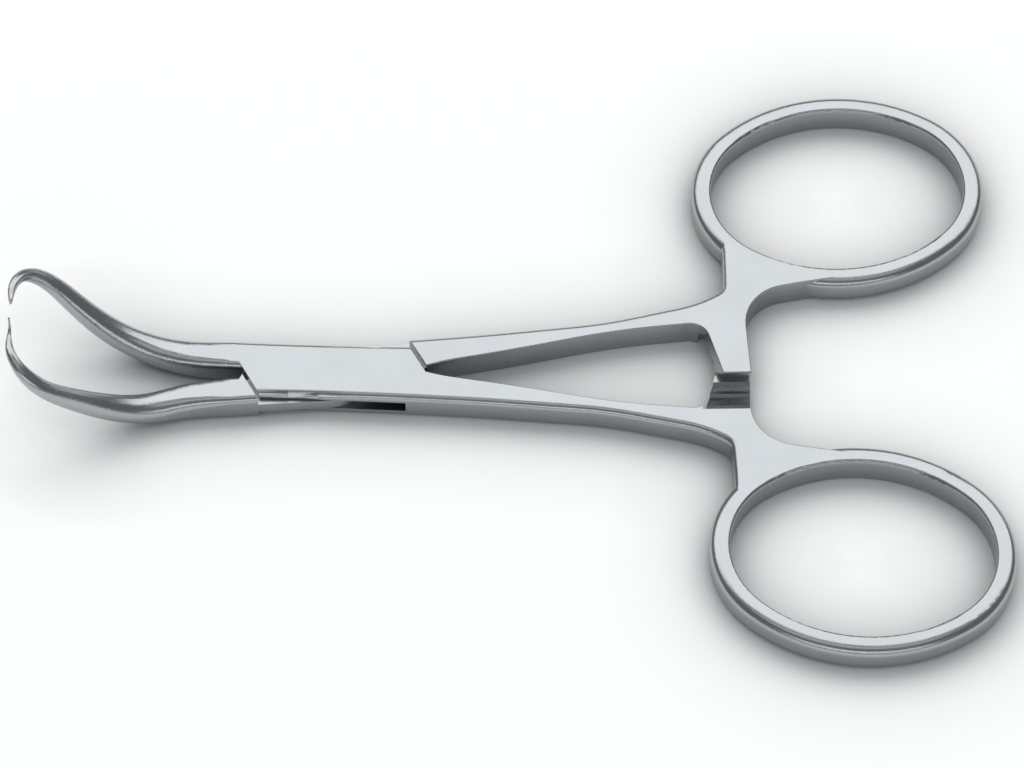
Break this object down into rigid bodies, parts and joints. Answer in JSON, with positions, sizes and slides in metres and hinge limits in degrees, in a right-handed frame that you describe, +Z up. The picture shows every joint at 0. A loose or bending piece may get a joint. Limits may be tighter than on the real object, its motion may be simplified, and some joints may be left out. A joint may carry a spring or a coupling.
{
  "type": "towel clamp",
  "caption": "Small surgical towel clamp with box lock, oval finger rings, ratchet arms and slender jaws that curl upward and hook in to sharp points.",
  "frame": {"origin": "on the pivot axis, at the flat underside that the clamp lies on", "axes": "+X along the shanks to the finger rings, +Z up out of the flat underside, the way the jaws curl"},
  "size_m": [0.0789, 0.0546, 0.0113],
  "materials": {
    "satin_steel": "fine satin",
    "pin_steel": "fine satin, ground flush"
  },
  "bodies": {
    "box": {"box_half": "satin_steel", "pivot_pin": "pin_steel"},
    "tongue": {"tongue_half": "satin_steel"}
  },
  "joints": [
    {"name": "box_lock", "type": "hinge", "parent": "box", "child": "tongue", "pos_m": [0, 0, 0], "axis": [0, 0, 1], "range_deg": [-3.4, 50]}
  ]
}
